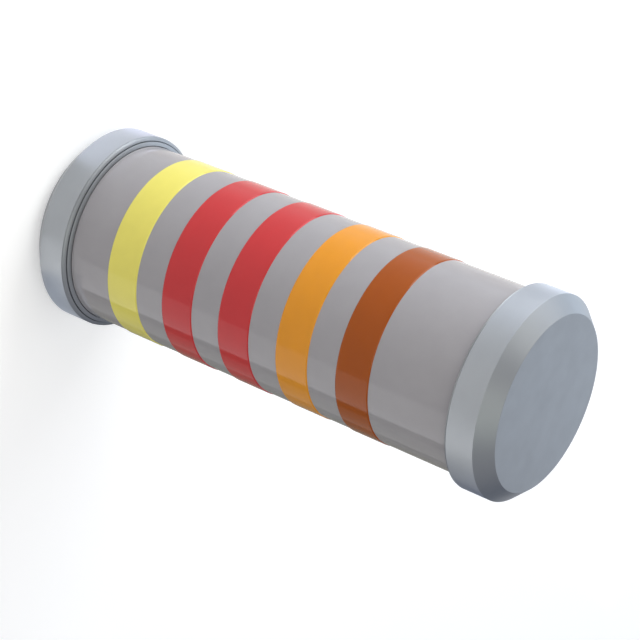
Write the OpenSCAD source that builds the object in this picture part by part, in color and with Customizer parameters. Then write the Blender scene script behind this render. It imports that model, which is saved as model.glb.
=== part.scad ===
// Leadless cylindrical film resistor with five colour bands.
// It stands on the flat end of its lower cap, with its axis along Z.

/* [Overall] */
// Length over both end caps
length = 5.94; // [5.6:0.02:6.4]
// Diameter of the end caps
cap_d = 2.2; // [2:0.02:2.4]

/* [End caps] */
// How far each cap reaches along the rod
cap_len = 0.53; // [0.45:0.01:0.8]
// Wall of the cap round the rod
cap_wall = 0.15; // [0.12:0.01:0.2]
// Thickness of the cap's flat end
cap_end_t = 0.18; // [0.15:0.01:0.24]
// Chamfer round the flat end, measured along the axis
chamfer_len = 0.155; // [0.1:0.005:0.17]
// Chamfer round the flat end, measured across the radius
chamfer_depth = 0.155; // [0.1:0.005:0.17]
// Bevel outside the open rim, measured across the radius
rim_bevel_depth = 0.044; // [0.02:0.002:0.06]
// Bevel outside the open rim, measured along the axis
rim_bevel_len = 0.028; // [0.01:0.002:0.05]
// How far the rim's own face slopes down to the lacquer, measured along the axis
rim_slope = 0.025; // [0.01:0.005:0.05]
// Slanted inner corner between the wall and the flat end
inner_bevel = 0.03; // [0.01:0.005:0.04]

/* [Ceramic rod] */
// Slanted edge at each end of the rod
rod_edge = 0.05; // [0.04:0.005:0.08]

/* [Resistive film] */
// Thickness of the metal film
film_t = 0.02; // [0.015:0.001:0.03]
// Width of the helical groove, measured along the axis
groove_w = 0.06; // [0.03:0.005:0.1]
// Distance from one turn of the groove to the next
groove_pitch = 0.3; // [0.25:0.01:0.4]
// Least plain film between each cap and the groove
groove_margin = 0.28; // [0.2:0.01:0.5]
// Flats round the film
film_flats = 40; // [32:4:48]

/* [Lacquer] */
// Thickness of the lacquer over the film
lacquer_t = 0.054; // [0.03:0.002:0.07]

/* [Colour bands] */
// Width of each band
band_w = 0.404; // [0.3:0.01:0.5]
// Plain lacquer between the lower cap and the first band
band_start = 0.518; // [0.3:0.01:0.7]
// Plain lacquer between the last band and the upper cap
band_finish = 0.934; // [0.5:0.01:1.1]
// Thickness of the printed bands
band_t = 0.008; // [0.005:0.001:0.012]

/* [Hidden] */
$fn = 96;

// Radii, from the outside of the caps inwards
cap_r = cap_d / 2;
film_r = cap_r - cap_wall;
rod_r = film_r - film_t;
lacquer_r = film_r + lacquer_t;
band_r = lacquer_r + band_t;

// Heights above the lower end
rod_z = cap_end_t;
rod_len = length - 2 * cap_end_t;
lacquer_z = cap_len;
lacquer_len = length - 2 * cap_len;
film_z = rod_z + rod_edge;
film_len = rod_len - 2 * rod_edge;

// Colours of the bands, from the lower end up. They are spread evenly from the first to the last.
band_colors = ["khaki", "firebrick", "firebrick", "orange", "saddlebrown"];
band_span = lacquer_len - band_start - band_finish - band_w;
band_pitch = band_span / (len(band_colors) - 1);

// The groove takes as many whole turns as fit between the caps, and lies midway
groove_turns = floor((lacquer_len - 2 * groove_margin - groove_w) / groove_pitch);
groove_z = (length - groove_turns * groove_pitch) / 2;

// Inner corners of the film stand off the rod, so that its flats only touch it
film_inner_r = rod_r / cos(180 / film_flats);

// The film is one strip. Its stations lie one flat apart, and climb round the rod.
groove_end = film_flats * groove_turns;
strip_end = groove_end + film_flats;

function groove_height(station) = groove_z + groove_pitch * station / film_flats;

function lower_edge(station) =
    station < film_flats ? film_z : groove_height(station - film_flats) + groove_w / 2;

function upper_edge(station) =
    station > groove_end ? film_z + film_len : groove_height(station) - groove_w / 2;

function film_point(station, r, z) =
    let (a = 360 * station / film_flats) [r * cos(a), r * sin(a), z];

// Four corners of the strip at each station: lower inner, lower outer, upper outer, upper inner
film_points = [
    for (i = [0:strip_end])
        each [film_point(i, film_inner_r, lower_edge(i)), film_point(i, film_r, lower_edge(i)),
              film_point(i, film_r, upper_edge(i)), film_point(i, film_inner_r, upper_edge(i))]
];

function lower_inner(station) = 4 * station;

function lower_outer(station) = 4 * station + 1;

function upper_outer(station) = 4 * station + 2;

function upper_inner(station) = 4 * station + 3;

// The first turn closes on its own start, and the last turn starts on its own end
function next_lower(station) = station == film_flats - 1 ? 0 : station + 1;

function this_upper(station) = station == groove_end ? strip_end : station;

// One flat of the strip, clockwise from outside, as [station, is upper corner] pairs.
// The first pair lies across from the seam where more than two corners share an upright line.
function flat_outline(i) =
    i == groove_end
        ? [[i + 1, false], [i, false], [i, true], [strip_end, false], [strip_end, true], [i + 1, true]]
        : [
            [i, false],
            [i, true],
            [i + 1, true],
            [i + 1, false],
            each (i == film_flats - 1 ? [[0, true], [0, false]] : [])
        ];

function outer_index(pair) = pair[1] ? upper_outer(pair[0]) : lower_outer(pair[0]);

function inner_index(pair) = pair[1] ? upper_inner(pair[0]) : lower_inner(pair[0]);

// Triangles that spread from the first corner of a flat
function outer_faces(i) =
    let (outline = flat_outline(i))
    [
        for (k = [1:len(outline) - 2])
            [outer_index(outline[0]), outer_index(outline[k]), outer_index(outline[k + 1])]
    ];

function inner_faces(i) =
    let (outline = flat_outline(i))
    [
        for (k = [1:len(outline) - 2])
            [inner_index(outline[0]), inner_index(outline[k + 1]), inner_index(outline[k])]
    ];

function lower_face(i) =
    let (n = next_lower(i)) [lower_outer(i), lower_outer(n), lower_inner(n), lower_inner(i)];

function upper_face(i) =
    let (t = this_upper(i), n = i + 1) [upper_outer(n), upper_outer(t), upper_inner(t), upper_inner(n)];

// The groove ends in a square wall at each end
groove_start_wall = [upper_outer(0), lower_outer(film_flats), lower_inner(film_flats), upper_inner(0)];
groove_end_wall = [lower_outer(strip_end), upper_outer(groove_end), upper_inner(groove_end),
                   lower_inner(strip_end)];

film_faces = [
    for (i = [0:strip_end - 1])
        each [each outer_faces(i), each inner_faces(i), lower_face(i), upper_face(i)],
    groove_start_wall,
    groove_end_wall
];

module ceramic_rod() {
    color("white")
        translate([0, 0, rod_z])
            rotate_extrude()
                polygon([
                    [0, 0],
                    [rod_r - rod_edge, 0],
                    [rod_r, rod_edge],
                    [rod_r, rod_len - rod_edge],
                    [rod_r - rod_edge, rod_len],
                    [0, rod_len]
                ]);
}

module resistive_film() {
    color("darkslategray")
        polyhedron(points = film_points, faces = film_faces, convexity = 10);
}

// Pressed cup, drawn with its flat end down: half section turned about the axis
module end_cap() {
    color("lightsteelblue")
        rotate_extrude()
            polygon([
                [0, 0],
                [cap_r - chamfer_depth, 0],
                [cap_r, chamfer_len],
                [cap_r, cap_len - rim_slope - rim_bevel_len],
                [cap_r - rim_bevel_depth, cap_len - rim_slope],
                [lacquer_r, cap_len],
                [film_r, cap_len],
                [film_r, cap_end_t + inner_bevel],
                [film_r - inner_bevel, cap_end_t],
                [0, cap_end_t]
            ]);
}

module end_cap_bottom() {
    end_cap();
}

module end_cap_top() {
    translate([0, 0, length])
        mirror([0, 0, 1])
            end_cap();
}

// Straight tube about the axis
module sleeve(z, height, inner_r, outer_r) {
    translate([0, 0, z])
        rotate_extrude()
            translate([inner_r, 0])
                square([outer_r - inner_r, height]);
}

module lacquer_coating() {
    color("darkgray")
        sleeve(lacquer_z, lacquer_len, film_r, lacquer_r);
}

// Printed ring, counted from the lower end
module band(place) {
    color(band_colors[place])
        sleeve(lacquer_z + band_start + place * band_pitch, band_w, lacquer_r, band_r);
}

module band_yellow() {
    band(0);
}

module band_red_first() {
    band(1);
}

module band_red_second() {
    band(2);
}

module band_orange() {
    band(3);
}

module band_brown() {
    band(4);
}

ceramic_rod();
resistive_film();
end_cap_bottom();
end_cap_top();
lacquer_coating();
band_yellow();
band_red_first();
band_red_second();
band_orange();
band_brown();
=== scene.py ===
import math

import bmesh
import bpy
from mathutils import Matrix, Vector


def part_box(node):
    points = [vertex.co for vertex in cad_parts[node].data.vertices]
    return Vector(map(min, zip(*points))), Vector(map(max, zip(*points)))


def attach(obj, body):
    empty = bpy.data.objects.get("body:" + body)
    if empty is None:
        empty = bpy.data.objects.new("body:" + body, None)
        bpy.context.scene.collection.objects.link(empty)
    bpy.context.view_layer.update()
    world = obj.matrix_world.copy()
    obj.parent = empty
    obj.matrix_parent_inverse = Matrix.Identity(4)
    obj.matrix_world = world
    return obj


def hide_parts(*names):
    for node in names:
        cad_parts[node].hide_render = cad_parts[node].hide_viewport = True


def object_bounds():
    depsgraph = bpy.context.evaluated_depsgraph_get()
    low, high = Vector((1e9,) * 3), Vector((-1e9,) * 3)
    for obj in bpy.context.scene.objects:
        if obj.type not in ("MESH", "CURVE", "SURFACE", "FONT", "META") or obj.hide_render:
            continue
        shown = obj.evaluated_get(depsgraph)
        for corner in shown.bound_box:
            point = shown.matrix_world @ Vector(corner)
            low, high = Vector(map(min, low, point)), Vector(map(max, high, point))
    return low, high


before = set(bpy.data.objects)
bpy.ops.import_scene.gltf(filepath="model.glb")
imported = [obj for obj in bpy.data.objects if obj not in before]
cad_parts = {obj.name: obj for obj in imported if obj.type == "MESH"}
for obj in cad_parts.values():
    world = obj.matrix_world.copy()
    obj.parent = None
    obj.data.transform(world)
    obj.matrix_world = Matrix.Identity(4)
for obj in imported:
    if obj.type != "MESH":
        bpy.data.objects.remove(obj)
cad_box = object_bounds()


# View
# The resistor stands on its lower cap, and the photograph shows it lying across the picture. So the camera
# looks down on it from one side, and is rolled until the axis falls the way it does in the photograph.
mm = 0.001
lens_place = Vector((0.0947, -20.1238, 14.9491)) * mm
look_down = math.radians(30.34)
roll = math.radians(112.51)
nearest_seen = 1 * mm
farthest_seen = 1000 * mm

# Blender takes these two in millimetres
focal_length = 125.13
sensor_width = 36

camera = bpy.data.objects.new("camera", bpy.data.cameras.new("camera"))
bpy.context.scene.collection.objects.link(camera)
camera.data.sensor_width = sensor_width
camera.data.lens = focal_length
camera.data.clip_start = nearest_seen
camera.data.clip_end = farthest_seen
turned_down = Matrix.Rotation(math.pi / 2 - look_down, 4, "X")
camera.matrix_world = Matrix.Translation(lens_place) @ turned_down @ Matrix.Rotation(roll, 4, "Z")
bpy.context.scene.camera = camera


# Floor
# A plain white table top. What the camera and shiny surfaces see of it gets a little added light, so
# that it comes out as white as the paper in the photograph and still shows the resistor's shadow.
floor_radius = 150 * mm
floor_sides = 96
floor_colour = (0.8, 0.8, 0.8, 1)
floor_roughness = 0.9
floor_gloss = 0.1
floor_lift = 0.33
white = (1, 1, 1, 1)
crease_angle = math.radians(25)


def add_node(tree, kind, **values):
    """A shader node with its settings and unlinked inputs filled in by name."""
    made = tree.nodes.new("ShaderNode" + kind)
    for name, value in values.items():
        if name in made.inputs:
            made.inputs[name].default_value = value
        else:
            setattr(made, name, value)
    return made


def new_material(name):
    """A material with one Principled shader: returns it, its node tree and the shader."""
    material = bpy.data.materials.new(name)
    material.use_nodes = True
    return material, material.node_tree, material.node_tree.nodes["Principled BSDF"]


def add_object(name, shape, material):
    """An object made of a finished bmesh, smooth apart from its creases."""
    mesh = bpy.data.meshes.new(name)
    bmesh.ops.recalc_face_normals(shape, faces=shape.faces)
    shape.to_mesh(mesh)
    shape.free()
    mesh.shade_smooth()
    mesh.set_sharp_from_angle(angle=crease_angle)
    mesh.materials.append(material)
    made = bpy.data.objects.new(name, mesh)
    bpy.context.scene.collection.objects.link(made)
    return made


floor_paint, tree, shader = new_material("floor_paint")
shader.inputs["Base Color"].default_value = floor_colour
shader.inputs["Roughness"].default_value = floor_roughness
shader.inputs["Specular IOR Level"].default_value = floor_gloss
shader.inputs["Emission Color"].default_value = white
ray = add_node(tree, "LightPath")
seen = add_node(tree, "Math", operation="MAXIMUM")
seen_through = add_node(tree, "Math", operation="MAXIMUM")
lift = add_node(tree, "Math", operation="MULTIPLY")
lift.inputs[1].default_value = floor_lift
tree.links.new(ray.outputs["Is Camera Ray"], seen.inputs[0])
tree.links.new(ray.outputs["Is Glossy Ray"], seen.inputs[1])
tree.links.new(seen.outputs[0], seen_through.inputs[0])
tree.links.new(ray.outputs["Is Transmission Ray"], seen_through.inputs[1])
tree.links.new(seen_through.outputs[0], lift.inputs[0])
tree.links.new(lift.outputs[0], shader.inputs["Emission Strength"])

disc = bmesh.new()
bmesh.ops.create_circle(disc, cap_ends=True, segments=floor_sides, radius=floor_radius)
floor = add_object("floor", disc, floor_paint)


# Light
# Soft panels all round, as in a small product tent. The strongest stands low on the left, and the two
# behind the resistor are a little cool. The room is pale overhead and dark near the horizon.
panel_size = 20 * mm
panel_distance = 28 * mm
resistor_middle = Vector((0, 0, cad_box[1].z / 2))
room_high = (0.49, 0.49, 0.52, 1)
room_low = (0.05, 0.09, 0.17, 1)
low_up_to = math.sin(math.radians(4))
high_from = math.sin(math.radians(26))


def add_panel(name, azimuth, elevation, level):
    """A square panel that faces the resistor. Its level is how bright it looks in red, green and blue,
    where 1 is white."""
    light = bpy.data.lights.new(name, "AREA")
    light.shape = "SQUARE"
    light.size = panel_size
    light.color = level
    light.energy = math.pi * panel_size * panel_size
    turn = math.radians(azimuth)
    climb = math.radians(elevation)
    along = Vector((math.cos(turn) * math.cos(climb), math.sin(turn) * math.cos(climb), math.sin(climb)))
    panel = bpy.data.objects.new(name, light)
    panel.location = resistor_middle + along * panel_distance
    panel.rotation_mode = "QUATERNION"
    panel.rotation_quaternion = along.to_track_quat("Z", "Y")
    bpy.context.scene.collection.objects.link(panel)


add_panel("left_panel", azimuth=-178, elevation=14, level=(4.8, 4.95, 5.05))
add_panel("high_left_panel", azimuth=-150, elevation=38, level=(1.15, 1.15, 1.05))
add_panel("front_panel", azimuth=-75, elevation=30, level=(1.5, 1.4, 1.25))
add_panel("high_right_panel", azimuth=-45, elevation=50, level=(0.5, 0.55, 0.45))
add_panel("back_left_panel", azimuth=135, elevation=14, level=(0.85, 0.95, 1.05))
add_panel("back_right_panel", azimuth=105, elevation=22, level=(0.75, 0.85, 0.95))

world = bpy.data.worlds.new("room")
world.use_nodes = True
bpy.context.scene.world = world
tree = world.node_tree
room = tree.nodes["Background"]
direction = add_node(tree, "TexCoord")
parts = add_node(tree, "SeparateXYZ")
height = add_node(tree, "ValToRGB")
height.color_ramp.elements[0].position = low_up_to
height.color_ramp.elements[1].position = high_from
height.color_ramp.elements[0].color = room_low
height.color_ramp.elements[1].color = room_high
tree.links.new(direction.outputs["Generated"], parts.inputs[0])
tree.links.new(parts.outputs["Z"], height.inputs["Fac"])
tree.links.new(height.outputs["Color"], room.inputs["Color"])
backdrop = add_node(tree, "Background")
backdrop.inputs["Color"].default_value = white
ray = add_node(tree, "LightPath")
either = add_node(tree, "MixShader")
tree.links.new(ray.outputs["Is Camera Ray"], either.inputs["Fac"])
tree.links.new(room.outputs[0], either.inputs[1])
tree.links.new(backdrop.outputs[0], either.inputs[2])
tree.links.new(either.outputs[0], tree.nodes["World Output"].inputs["Surface"])
bpy.context.scene.view_settings.view_transform = "Standard"


# Reflection cards
# Glowing sheets on the table that show only in the gloss of the resistor: painted reflections, which the
# camera doesn't see and which neither light nor shade anything. Those on its right paint the light streak
# and the dark edge along the lower side in the picture, and those behind it and on its left paint the tone
# of the upper side.
# The nearest ones do this for the lower cap, and the farthest ones for the upper cap.
coat_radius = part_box("lacquer_coating")[1].x
card_lift = 0.01 * mm
fan_degrees = 6
right_start = 0.3 * mm
back_start = 0.15 * mm
lower_cap_reach = 0.88 * mm
body_reach = 11.2 * mm
upper_cap_reach = 20 * mm
black = (0, 0, 0, 1)

# Name, the angles round the axis in degrees between which it fills the gloss, how far from the lacquer it
# starts and ends, and how bright it looks. Seen from the front, its edges run straight along the body.
cards = [
    ("low_light_card", -70, -50, right_start, lower_cap_reach, (1.4, 1.4, 1.4)),
    ("low_blue_card", -50, 10, right_start, lower_cap_reach, (0.77, 0.83, 0.95)),
    ("light_card", -61, -40, lower_cap_reach, body_reach, (1.8, 1.8, 1.8)),
    ("black_card", -40, -35, lower_cap_reach, body_reach, (0.35, 0.35, 0.3)),
    ("grey_card", -35, -22, lower_cap_reach, body_reach, (0.55, 0.55, 0.5)),
    ("dark_card", -22, 10, lower_cap_reach, body_reach, (0.26, 0.26, 0.22)),
    ("high_light_card", -61, -40, body_reach, upper_cap_reach, (1.4, 1.4, 1.4)),
    ("blue_card", -40, -22, body_reach, upper_cap_reach, (0.7, 0.75, 0.9)),
    ("night_card", -22, 10, body_reach, upper_cap_reach, (0.06, 0.1, 0.24)),
    ("back_card", -186, -150, lower_cap_reach, body_reach, (0.98, 0.95, 0.92)),
    ("cool_card", -186, -158, body_reach, upper_cap_reach, (2.3, 2.5, 2.85)),
    ("pale_card", -158, -118, body_reach, upper_cap_reach, (1.25, 1.35, 1.6)),
    ("foot_card", -186, -152, back_start, lower_cap_reach, (2.0, 2.05, 2.4)),
    ("low_pale_card", -152, -116, back_start, lower_cap_reach, (1.75, 1.8, 1.95)),
]

for name, first, last, near, far, colour in cards:
    # Each card only glows with its colour and only reflections see it: a painted reflection, light or dark
    reflection_glow, tree, shader = new_material(name)
    shader.inputs["Base Color"].default_value = black
    shader.inputs["Specular IOR Level"].default_value = 0
    shader.inputs["Emission Color"].default_value = (*colour, 1)
    shader.inputs["Emission Strength"].default_value = 1
    sheet = bmesh.new()
    steps = math.ceil((last - first) / fan_degrees)
    rails = []
    for i in range(steps + 1):
        turn = math.radians(first + (last - first) * i / steps)
        # To the camera, in front, the gloss at that angle mirrors the table in this direction
        mirrored = 2 * turn + math.pi / 2
        side = Vector((coat_radius * math.cos(turn), coat_radius * math.sin(turn), card_lift))
        away = Vector((math.cos(mirrored), math.sin(mirrored), 0))
        rails.append([sheet.verts.new(side + away * reach) for reach in (near, far)])
    for rail, following in zip(rails, rails[1:]):
        sheet.faces.new([rail[0], rail[1], following[1], following[0]])
    card = add_object(name, sheet, reflection_glow)
    card.visible_camera = False
    card.visible_diffuse = False
    card.visible_shadow = False


# Ceramic rod
# A solid stick of fired alumina, white and slightly grainy, ground to size with its end edges broken.
# It carries the film, and the caps are pressed over its two ends.
rod_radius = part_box("ceramic_rod")[1].x
rod_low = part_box("ceramic_rod")[0].z
rod_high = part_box("ceramic_rod")[1].z
rod_edge = 0.05 * mm
rod_edge_round = 0.01 * mm
alumina_dark = (0.72, 0.71, 0.68)
alumina_light = (0.82, 0.81, 0.78)

# Noise at or below the first gives the low end of a pattern, and at or above the second the high end
noise_low = 0.3
noise_high = 0.7


def rounded(corners, arc_step=math.radians(9), least_steps=3, flat_margin=0.5):
    """The outline through (radius, height, rounding) corners, with an arc at each rounded one.
    A point on the flat beside each arc, flat_margin roundings away, keeps the flat's shading flat."""
    outline = []
    count = len(corners)
    for i, (r, z, rounding) in enumerate(corners):
        here = Vector((r, z))
        if rounding == 0:
            outline.append(here)
            continue
        back = (Vector(corners[i - 1][:2]) - here).normalized()
        ahead = (Vector(corners[(i + 1) % count][:2]) - here).normalized()
        half = back.angle(ahead) / 2
        reach = rounding / math.tan(half)
        middle = here + (back + ahead).normalized() * (rounding / math.sin(half))
        start = here + back * reach
        end = here + ahead * reach
        sweep = math.pi - 2 * half
        steps = max(least_steps, math.ceil(sweep / arc_step))
        outline.append(start + back * rounding * flat_margin)
        for k in range(steps + 1):
            a = sweep * k / steps
            along = (start - middle) * math.sin(sweep - a) + (end - middle) * math.sin(a)
            outline.append(middle + along / math.sin(sweep))
        outline.append(end + ahead * rounding * flat_margin)
    return outline


def turned(outline, flats=256):
    """A closed outline of (radius, height) points turned once about the axis.
    Points at radius 0 are poles."""
    shape = bmesh.new()
    rings = []
    for r, z in outline:
        if r == 0:
            rings.append([shape.verts.new((0, 0, z))])
        else:
            turn = 2 * math.pi / flats
            rings.append([shape.verts.new((r * math.cos(turn * i), r * math.sin(turn * i), z))
                          for i in range(flats)])
    for ring, following in zip(rings, rings[1:] + rings[:1]):
        # Two poles in a row have no face between them
        if len(ring) == 1 and len(following) == 1:
            continue
        for i in range(flats):
            corners = [ring[i % len(ring)], ring[(i + 1) % len(ring)],
                       following[(i + 1) % len(following)], following[i % len(following)]]
            # A pole comes up twice here, and is one corner of the face
            shape.faces.new(list(dict.fromkeys(corners)))
    return shape


def add_noise(tree, size, detail):
    """Noise whose patches are about size across, in the piece's own frame."""
    place = add_node(tree, "TexCoord")
    pattern = add_node(tree, "TexNoise", Scale=1 / size, Detail=detail)
    tree.links.new(place.outputs["Object"], pattern.inputs["Vector"])
    return pattern.outputs["Fac"]


def vary_colour(tree, shader, pattern, low, high):
    """The base colour runs from low to high with the pattern."""
    mix = add_node(tree, "ValToRGB")
    mix.color_ramp.elements[0].position = noise_low
    mix.color_ramp.elements[1].position = noise_high
    mix.color_ramp.elements[0].color = (*low, 1)
    mix.color_ramp.elements[1].color = (*high, 1)
    tree.links.new(pattern, mix.inputs["Fac"])
    tree.links.new(mix.outputs["Color"], shader.inputs["Base Color"])


def vary_roughness(tree, shader, pattern, low, high):
    """The roughness runs from low to high with the pattern."""
    spread = add_node(tree, "MapRange")
    spread.inputs["From Min"].default_value = noise_low
    spread.inputs["From Max"].default_value = noise_high
    spread.inputs["To Min"].default_value = low
    spread.inputs["To Max"].default_value = high
    tree.links.new(pattern, spread.inputs["Value"])
    tree.links.new(spread.outputs["Result"], shader.inputs["Roughness"])


def add_relief(tree, shader, pattern, height):
    """The surface rises and falls by height with the pattern."""
    relief = add_node(tree, "Bump", Strength=1.0, Distance=height)
    tree.links.new(pattern, relief.inputs["Height"])
    tree.links.new(relief.outputs["Normal"], shader.inputs["Normal"])


alumina, tree, shader = new_material("alumina")
vary_colour(tree, shader, add_noise(tree, size=0.08 * mm, detail=4), alumina_dark, alumina_light)
vary_roughness(tree, shader, add_noise(tree, size=0.05 * mm, detail=3), low=0.55, high=0.7)
add_relief(tree, shader, add_noise(tree, size=0.03 * mm, detail=5), height=0.002 * mm)

rod_outline = rounded([
    (0, rod_low, 0),
    (rod_radius - rod_edge, rod_low, rod_edge_round),
    (rod_radius, rod_low + rod_edge, rod_edge_round),
    (rod_radius, rod_high - rod_edge, rod_edge_round),
    (rod_radius - rod_edge, rod_high, rod_edge_round),
    (0, rod_high, 0),
])
ceramic_rod = add_object("alumina_rod", turned(rod_outline), alumina)
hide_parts("ceramic_rod")
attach(ceramic_rod, "root")


# Resistive film
# A dark metal film sputtered on the rod. A laser has cut one helical groove through it, so what is left
# is a single strip that climbs round the rod from cap to cap, and that sets the resistance.
film_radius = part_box("resistive_film")[1].x
film_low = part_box("resistive_film")[0].z
film_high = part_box("resistive_film")[1].z
groove_width = 0.06 * mm
groove_pitch = 0.3 * mm
groove_turns = 14
film_dark = (0.17, 0.175, 0.17)
film_light = (0.25, 0.25, 0.235)

# The strip's stations lie one flat apart and climb round the rod
flats_in_turn = 120
groove_low = (film_low + film_high - groove_turns * groove_pitch) / 2
groove_last = flats_in_turn * groove_turns
strip_last = groove_last + flats_in_turn


def groove_height(station):
    """Height of the middle of the groove at a station."""
    return groove_low + groove_pitch * station / flats_in_turn


def strip_edges(station):
    """Lower and upper edge of the strip. Its first turn starts straight, and its last one ends straight."""
    low, high = film_low, film_high
    if station >= flats_in_turn:
        low = groove_height(station - flats_in_turn) + groove_width / 2
    if station <= groove_last:
        high = groove_height(station) - groove_width / 2
    return low, high


metal_film, tree, shader = new_material("metal_film")
shader.inputs["Metallic"].default_value = 1.0
vary_colour(tree, shader, add_noise(tree, size=0.2 * mm, detail=4), film_dark, film_light)
vary_roughness(tree, shader, add_noise(tree, size=0.06 * mm, detail=3), low=0.3, high=0.42)
add_relief(tree, shader, add_noise(tree, size=0.03 * mm, detail=4), height=0.0006 * mm)

# Each side of the strip has a pair of corners at every station, the lower one first
strip = bmesh.new()
inner, outer = [], []
for station in range(strip_last + 1):
    turn = 2 * math.pi * station / flats_in_turn
    for side, r in ((inner, rod_radius), (outer, film_radius)):
        x, y = r * math.cos(turn), r * math.sin(turn)
        side.append([strip.verts.new((x, y, z)) for z in strip_edges(station)])

# The first turn closes on its own start, and the last turn starts on its own end
for i in range(strip_last):
    low_next = 0 if i == flats_in_turn - 1 else i + 1
    high_here = strip_last if i == groove_last else i
    for side in (inner, outer):
        outline = [side[i][0], side[i][1], side[i + 1][1], side[i + 1][0]]
        if i == flats_in_turn - 1:
            outline += [side[0][1], side[0][0]]
        if i == groove_last:
            outline = [side[i][0], side[i][1], side[strip_last][0], side[strip_last][1],
                       side[i + 1][1], side[i + 1][0]]
        strip.faces.new(outline)
    strip.faces.new([inner[i][0], inner[low_next][0], outer[low_next][0], outer[i][0]])
    strip.faces.new([inner[high_here][1], inner[i + 1][1], outer[i + 1][1], outer[high_here][1]])

# The groove ends in a square wall at each end
strip.faces.new([inner[0][1], inner[flats_in_turn][0], outer[flats_in_turn][0], outer[0][1]])
strip.faces.new([inner[strip_last][0], inner[groove_last][1], outer[groove_last][1], outer[strip_last][0]])
helical_film = add_object("helical_film", strip, metal_film)
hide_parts("resistive_film")
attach(helical_film, "root")


# End caps
# Two cups pressed from thin steel and plated with tin, with a chamfered flat end and a rolled open rim.
# Each is pushed over an end of the rod, grips it by its spring, and is what gets soldered.
cap_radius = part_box("end_cap_bottom")[1].x
cap_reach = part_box("end_cap_bottom")[1].z
cap_inside = film_radius
cap_end = rod_low
cap_chamfer = 0.155 * mm
chamfer_round = 0.003 * mm
inner_bevel = 0.03 * mm
upper_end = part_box("end_cap_top")[1].z
plating_dark = (0.317, 0.332, 0.351)
plating_light = (0.327, 0.342, 0.361)

# The rim starts this high on the cap's side, and runs in over three creases with a roll after each of
# the first two. Its points are (radius, height).
rim_start = 0.4665 * mm
rim_creases = [Vector((1.091, 0.4725)) * mm, Vector((1.0485, 0.493)) * mm, Vector((1.0, 0.52)) * mm]
rim_rolls = [
    (Vector((1.0965, 0.479)) * mm, Vector((1.062, 0.501)) * mm),
    (Vector((1.05, 0.508)) * mm, Vector((1.0105, 0.527)) * mm),
]
roll_swell = 0.0015 * mm

plated_steel, tree, shader = new_material("plated_steel")
shader.inputs["Metallic"].default_value = 1.0
vary_colour(tree, shader, add_noise(tree, size=0.35 * mm, detail=3), plating_dark, plating_light)
vary_roughness(tree, shader, add_noise(tree, size=0.15 * mm, detail=4), low=0.41, high=0.45)
add_relief(tree, shader, add_noise(tree, size=0.02 * mm, detail=3), height=0.0003 * mm)


def rolled(creases, rolls, steps=6):
    """Points along the rim: shallow rolls, with a crease before the first one and after each."""
    points = [creases[0]]
    for (start, end), crease in zip(rolls, creases[1:]):
        along = (end - start).normalized()
        out = Vector((along.y, -along.x))
        points += [start.lerp(end, k / steps) + out * roll_swell * math.sin(math.pi * k / steps)
                   for k in range(steps + 1)]
        points.append(crease)
    return points


shoulder = rounded([
    (0, 0, 0),
    (cap_radius - cap_chamfer, 0, chamfer_round),
    (cap_radius, cap_chamfer, chamfer_round),
    (cap_radius, rim_start, 0),
])
inside = rounded([
    (cap_inside, cap_reach, 0),
    (cap_inside, cap_end + inner_bevel, 0),
    (cap_inside - inner_bevel, cap_end, 0),
    (0, cap_end, 0),
])
cap_outline = shoulder + rolled(rim_creases, rim_rolls) + inside
for name, node, flip in (("cap_bottom", "end_cap_bottom", False), ("cap_top", "end_cap_top", True)):
    outline = [(r, upper_end - z) if flip else (r, z) for r, z in cap_outline]
    cap = add_object(name, turned(outline), plated_steel)
    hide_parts(node)
    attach(cap, "root")


# Lacquer
# A grey lacquer coat, rolled on over the film between the caps and cured to a smooth gloss.
# It seals the film and carries the printed bands.
coat_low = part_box("lacquer_coating")[0].z
coat_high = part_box("lacquer_coating")[1].z
lacquer_gloss = 0.3
lacquer_dark = (0.307, 0.295, 0.309)
lacquer_light = (0.321, 0.309, 0.323)


def smooth_coat(tree, shader):
    """The even surface of a coat that levelled out while it was wet, the same for lacquer and ink."""
    vary_roughness(tree, shader, add_noise(tree, size=0.3 * mm, detail=3), low=0.07, high=0.11)
    add_relief(tree, shader, add_noise(tree, size=0.15 * mm, detail=2), height=0.0004 * mm)


grey_lacquer, tree, shader = new_material("grey_lacquer")
shader.inputs["Specular IOR Level"].default_value = lacquer_gloss
vary_colour(tree, shader, add_noise(tree, size=0.25 * mm, detail=5), lacquer_dark, lacquer_light)
smooth_coat(tree, shader)

coat_outline = [
    (film_radius, coat_low),
    (coat_radius, coat_low),
    (coat_radius, coat_high),
    (film_radius, coat_high),
]
lacquer = add_object("lacquer", turned(coat_outline), grey_lacquer)
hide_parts("lacquer_coating")
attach(lacquer, "root")


# Colour bands
# Five rings of ink, rolled on over the cured lacquer while the resistor turns. Read from the lower end
# they give the value: yellow, red, red, orange, and brown for the tolerance.
red = (0.51, 0.034, 0.038)
band_colours = {
    "yellow": (0.745, 0.67, 0.14),
    "red_first": red,
    "red_second": red,
    "orange": (0.685, 0.268, 0.016),
    "brown": (0.315, 0.064, 0.001),
}
ink_gloss = 0.2
ink_dark = 0.98
ink_light = 1.02
ink_feather = 0.012 * mm

for band, colour in band_colours.items():
    shade = band.split("_")[0]
    ink, tree, shader = new_material(shade + "_ink")
    shader.inputs["Specular IOR Level"].default_value = ink_gloss
    darker = [ink_dark * c for c in colour]
    lighter = [ink_light * c for c in colour]
    vary_colour(tree, shader, add_noise(tree, size=0.2 * mm, detail=4), darker, lighter)
    smooth_coat(tree, shader)
    low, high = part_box("band_" + band)
    ring = [
        (coat_radius, low.z),
        (high.x, low.z + ink_feather),
        (high.x, high.z - ink_feather),
        (coat_radius, high.z),
    ]
    printed = add_object("ink_" + band, turned(ring), ink)
    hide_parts("band_" + band)
    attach(printed, "root")


# Sizes
# The scene is brought up to date.
bpy.context.view_layer.update()
